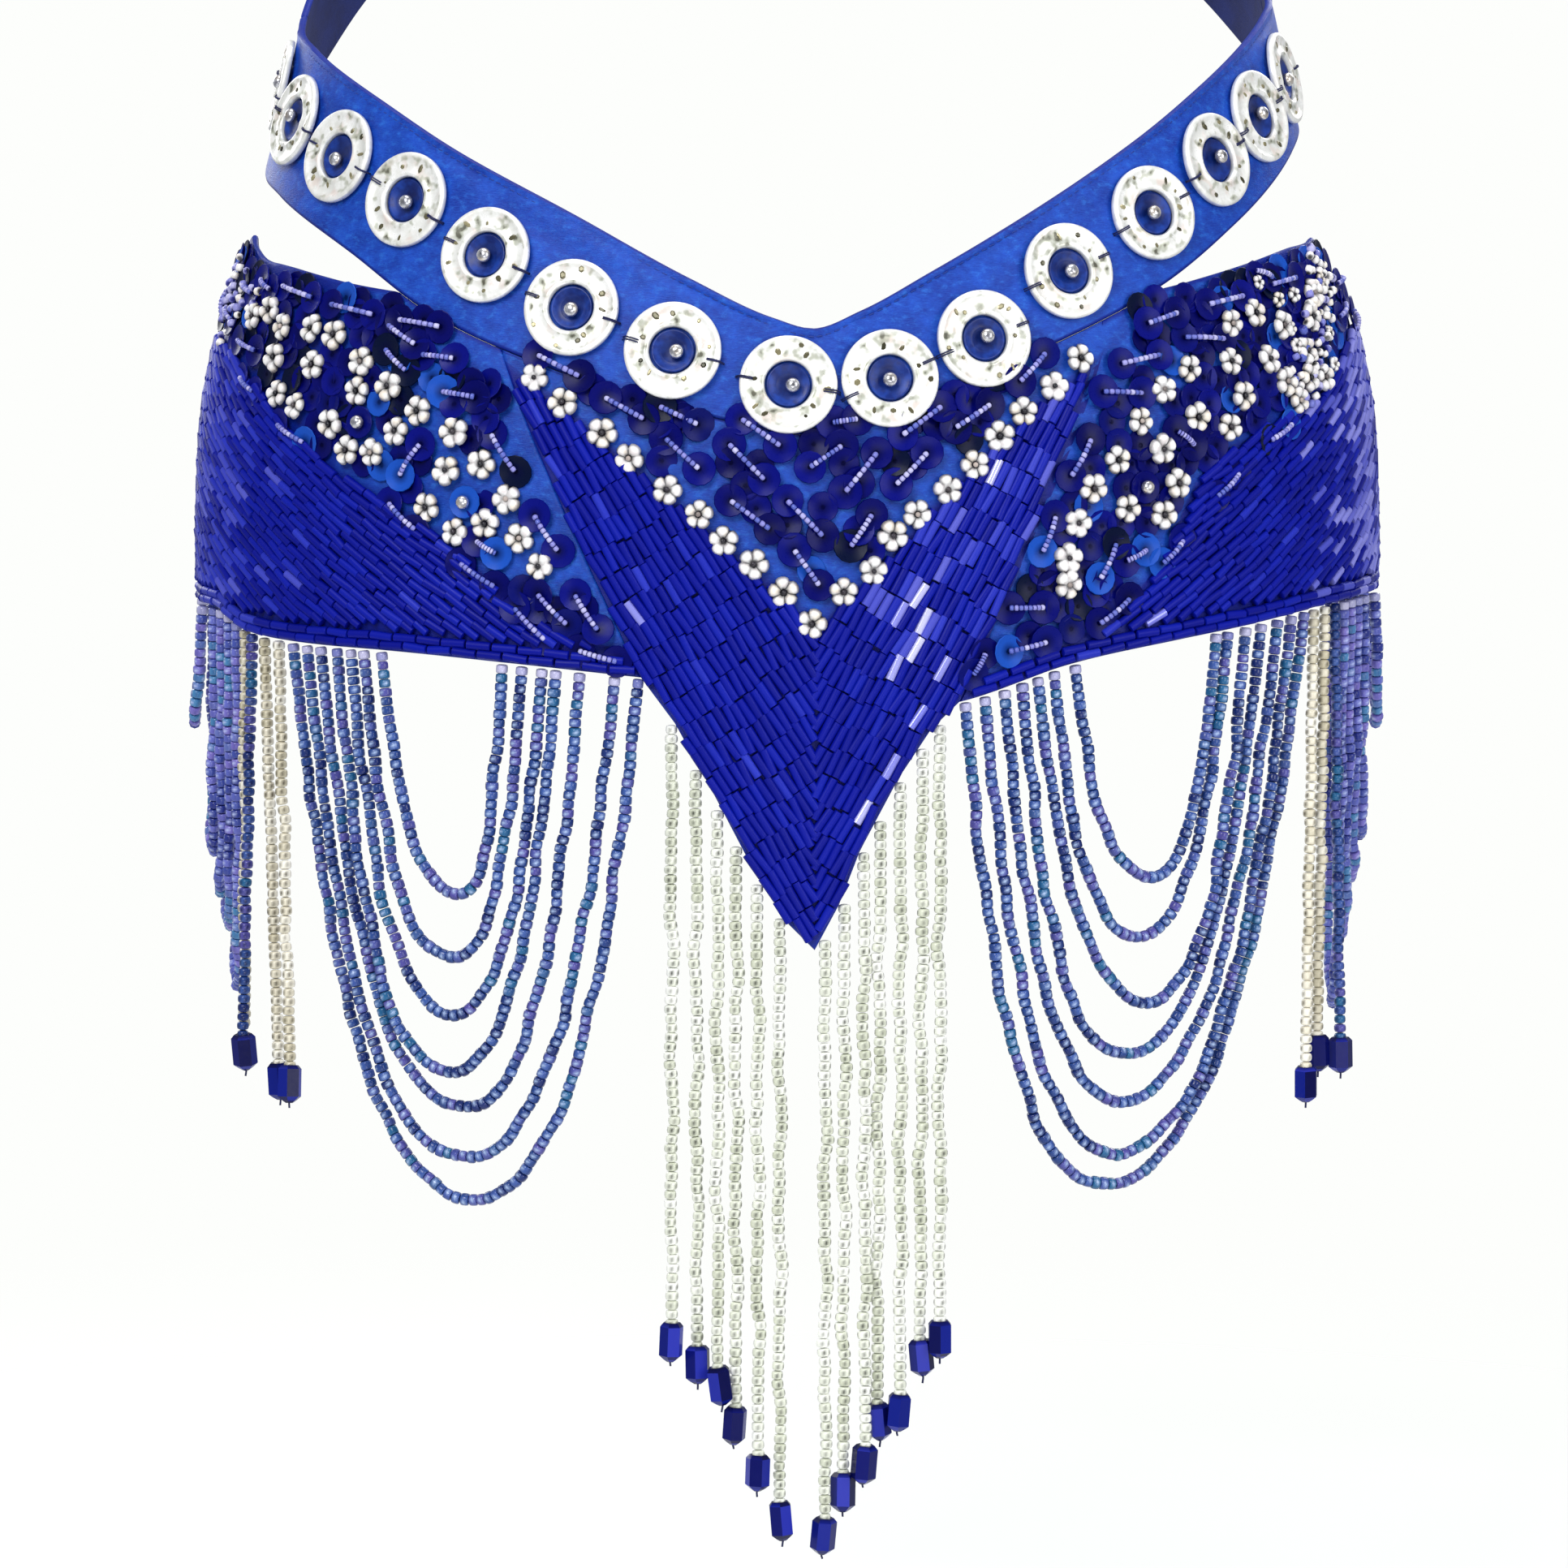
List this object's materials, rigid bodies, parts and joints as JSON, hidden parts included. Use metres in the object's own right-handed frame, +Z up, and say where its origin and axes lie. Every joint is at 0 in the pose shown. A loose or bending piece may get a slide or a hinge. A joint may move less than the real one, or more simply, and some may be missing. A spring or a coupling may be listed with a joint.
{
  "type": "belly dance hip belt",
  "caption": "Worn hip belt with a V strap of rings, a beaded pointed front and side panels, and bead fringe and loops along the hem.",
  "frame": {"origin": "centre of the wearer's hips on the hip line, halfway between the sides and between front and back", "axes": "+Z up, -Y is the wearer's front, +X is the wearer's left"},
  "size_m": [0.3644, 0.2566, 0.5216],
  "materials": {
    "satin": "royal blue satin",
    "beaded_cloth": "satin closely covered with ultramarine bugle beads and sequins",
    "silvered_ring": "silver-white moulded ring set with small stones",
    "blue_beads": "lustred blue glass seed beads",
    "clear_beads": "clear silver-lined seed beads",
    "drop_beads": "faceted royal blue glass",
    "sequins": "navy cupped sequins",
    "silver_flowers": "silvered flower beads"
  },
  "bodies": {
    "root": {"strap_front": "satin", "strap_back_left": "satin", "strap_back_right": "satin", "belt_back_left": "satin", "belt_back_right": "satin", "front_panel": "beaded_cloth", "side_panel_left": "beaded_cloth", "side_panel_right": "beaded_cloth", "fringe_front": "clear_beads", "fringe_drops_left": "clear_beads", "fringe_drops_right": "clear_beads", "fringe_loops_left": "blue_beads", "fringe_loops_right": "blue_beads", "fringe_side_left": "blue_beads", "fringe_side_right": "blue_beads", "ring_01": "silvered_ring", "ring_02": "silvered_ring", "ring_03": "silvered_ring", "ring_04": "silvered_ring", "ring_05": "silvered_ring", "ring_06": "silvered_ring", "ring_07": "silvered_ring", "ring_08": "silvered_ring", "ring_09": "silvered_ring", "ring_10": "silvered_ring", "ring_11": "silvered_ring", "ring_12": "silvered_ring", "ring_13": "silvered_ring", "ring_14": "silvered_ring", "ring_15": "silvered_ring"}
  },
  "joints": []
}
